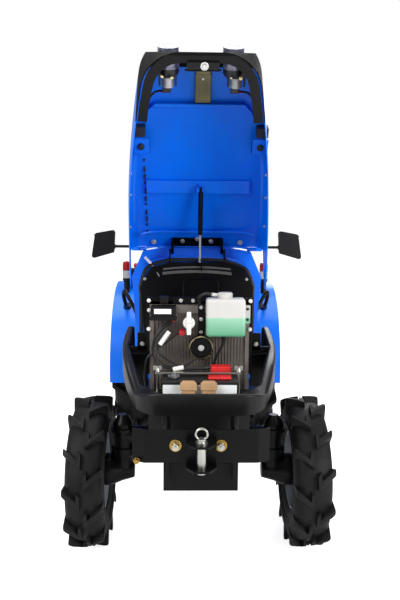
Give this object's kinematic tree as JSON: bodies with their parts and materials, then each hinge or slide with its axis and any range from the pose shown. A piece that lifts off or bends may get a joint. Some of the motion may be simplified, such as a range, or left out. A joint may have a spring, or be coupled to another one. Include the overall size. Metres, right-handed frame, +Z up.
{
  "type": "compact tractor",
  "caption": "Compact four-wheel-drive tractor with lugged farm tyres, parked with its hood standing open over the radiator, battery and engine.",
  "frame": {"origin": "on the ground under the middle of the tractor's overall box", "axes": "+Z up, -Y the way the tractor faces, +X to the right of someone who looks at its front"},
  "size_m": [1.0344, 2.6749, 2.1481],
  "materials": {
    "tyre_rubber": "moulded tyre rubber",
    "wheel_paint": "silver wheel enamel",
    "blue_paint": "gloss blue enamel",
    "black_plastic": "moulded black plastic",
    "black_paint": "black chassis enamel",
    "engine_cast": "painted cast iron",
    "battery_case": "black polypropylene",
    "bottle_plastic": "translucent polyethylene",
    "zinc_steel": "zinc plated steel",
    "lamp_glass": "clear moulded lens",
    "seat_vinyl": "black vinyl seat cover"
  },
  "bodies": {
    "chassis": {"front_axle": "black_paint", "front_frame": "black_paint", "front_bumper": "black_paint", "front_hitch": "black_paint", "hitch_pin": "zinc_steel", "cowl_ring": "black_plastic", "battery": "battery_case", "battery_tray": "black_paint", "radiator": "black_paint", "coolant_bottle": "bottle_plastic", "horn": "black_paint", "bay_fittings": "black_plastic", "engine": "engine_cast", "gearbox": "engine_cast", "firewall": "black_paint", "dash": "blue_paint", "steering_column": "black_plastic", "platform": "black_paint", "fender_right": "blue_paint", "fender_left": "blue_paint", "seat_frame": "black_paint", "seat": "seat_vinyl", "rops_posts": "black_paint", "mirrors": "black_plastic", "marker_lamps": "lamp_glass", "lever_console": "black_plastic", "drawbar": "black_paint"},
    "knuckle_right": {"knuckle_right": "black_paint"},
    "knuckle_left": {"knuckle_left": "black_paint"},
    "front_wheel_right": {"front_rim_right": "wheel_paint", "front_tyre_right": "tyre_rubber"},
    "front_wheel_left": {"front_rim_left": "wheel_paint", "front_tyre_left": "tyre_rubber"},
    "rear_wheel_right": {"rear_rim_right": "wheel_paint", "rear_tyre_right": "tyre_rubber"},
    "rear_wheel_left": {"rear_rim_left": "wheel_paint", "rear_tyre_left": "tyre_rubber"},
    "hood": {"hood_shell": "blue_paint", "hood_nose": "black_plastic", "headlamps": "lamp_glass", "hood_brace": "blue_paint", "hood_hinge": "black_paint"},
    "strut_tube": {"strut_tube": "black_paint"},
    "strut_rod": {"strut_rod": "zinc_steel"},
    "steering_wheel": {"steering_wheel": "black_plastic"},
    "rops_hoop": {"rops_hoop": "black_paint"},
    "lift_arms": {"lift_arms": "black_paint"},
    "lower_links": {"lower_links": "black_paint"},
    "top_link": {"top_link": "black_paint"},
    "pto_shaft": {"pto_shaft": "zinc_steel"}
  },
  "joints": [
    {"name": "steer_left", "type": "hinge", "parent": "chassis", "child": "knuckle_left", "pos_m": [0.298, -0.7575, 0.385], "axis": [0, 0, 1], "range_deg": [-40, 40]},
    {"name": "steer_right", "type": "hinge", "parent": "chassis", "child": "knuckle_right", "pos_m": [-0.298, -0.7575, 0.385], "axis": [0, 0, 1], "range_deg": [-40, 40]},
    {"name": "steering_wheel_turn", "type": "hinge", "parent": "chassis", "child": "steering_wheel", "pos_m": [0, 0.1075, 1.15], "axis": [0, 0.6157, 0.788], "range_deg": [-540, 540]},
    {"name": "front_wheel_left_spin", "type": "hinge", "parent": "knuckle_left", "child": "front_wheel_left", "pos_m": [0.418, -0.7575, 0.29], "axis": [1, 0, 0], "continuous": true},
    {"name": "front_wheel_right_spin", "type": "hinge", "parent": "knuckle_right", "child": "front_wheel_right", "pos_m": [-0.418, -0.7575, 0.29], "axis": [1, 0, 0], "continuous": true},
    {"name": "rear_wheel_left_spin", "type": "hinge", "parent": "chassis", "child": "rear_wheel_left", "pos_m": [0.356, 0.6625, 0.44], "axis": [1, 0, 0], "continuous": true},
    {"name": "rear_wheel_right_spin", "type": "hinge", "parent": "chassis", "child": "rear_wheel_right", "pos_m": [-0.356, 0.6625, 0.44], "axis": [1, 0, 0], "continuous": true},
    {"name": "hood_hinge_turn", "type": "hinge", "parent": "chassis", "child": "hood", "pos_m": [0, -0.1075, 1.13], "axis": [1, 0, 0], "range_deg": [0, 63]},
    {"name": "strut_swing", "type": "hinge", "parent": "hood", "child": "strut_tube", "pos_m": [0.012, -0.32209, 1.4146], "axis": [1, 0, 0], "range_deg": [0, 11.02]},
    {"name": "strut_slide", "type": "slide", "parent": "strut_tube", "child": "strut_rod", "axis": [0, 0.3536, -0.9354], "range_m": [-0.09281, 0]},
    {"name": "rops_fold_turn", "type": "hinge", "parent": "chassis", "child": "rops_hoop", "pos_m": [0, 0.8525, 1.22], "axis": [1, 0, 0], "range_deg": [-115, 0]},
    {"name": "lift_turn", "type": "hinge", "parent": "chassis", "child": "lift_arms", "pos_m": [0, 0.7525, 0.64], "axis": [1, 0, 0], "range_deg": [-12, 42]},
    {"name": "lower_link_turn", "type": "hinge", "parent": "chassis", "child": "lower_links", "pos_m": [0, 0.7525, 0.33], "axis": [1, 0, 0], "range_deg": [-11, 37]},
    {"name": "top_link_swing", "type": "hinge", "parent": "chassis", "child": "top_link", "pos_m": [0, 0.8225, 0.545], "axis": [1, 0, 0], "range_deg": [0, 60]},
    {"name": "pto_spin", "type": "hinge", "parent": "chassis", "child": "pto_shaft", "pos_m": [0, 0.8125, 0.43], "axis": [0, 1, 0], "continuous": true}
  ],
  "couplings": [
    {"joint": "steer_right", "follows": "steer_left", "ratio": 1},
    {"joint": "steering_wheel_turn", "follows": "steer_left", "ratio": 13.5},
    {"joint": "strut_swing", "follows": "hood_hinge_turn", "ratio": 0.15903},
    {"joint": "strut_slide", "follows": "hood_hinge_turn", "m_per_rad": -0.082584},
    {"joint": "lower_link_turn", "follows": "lift_turn", "ratio": 0.85}
  ]
}
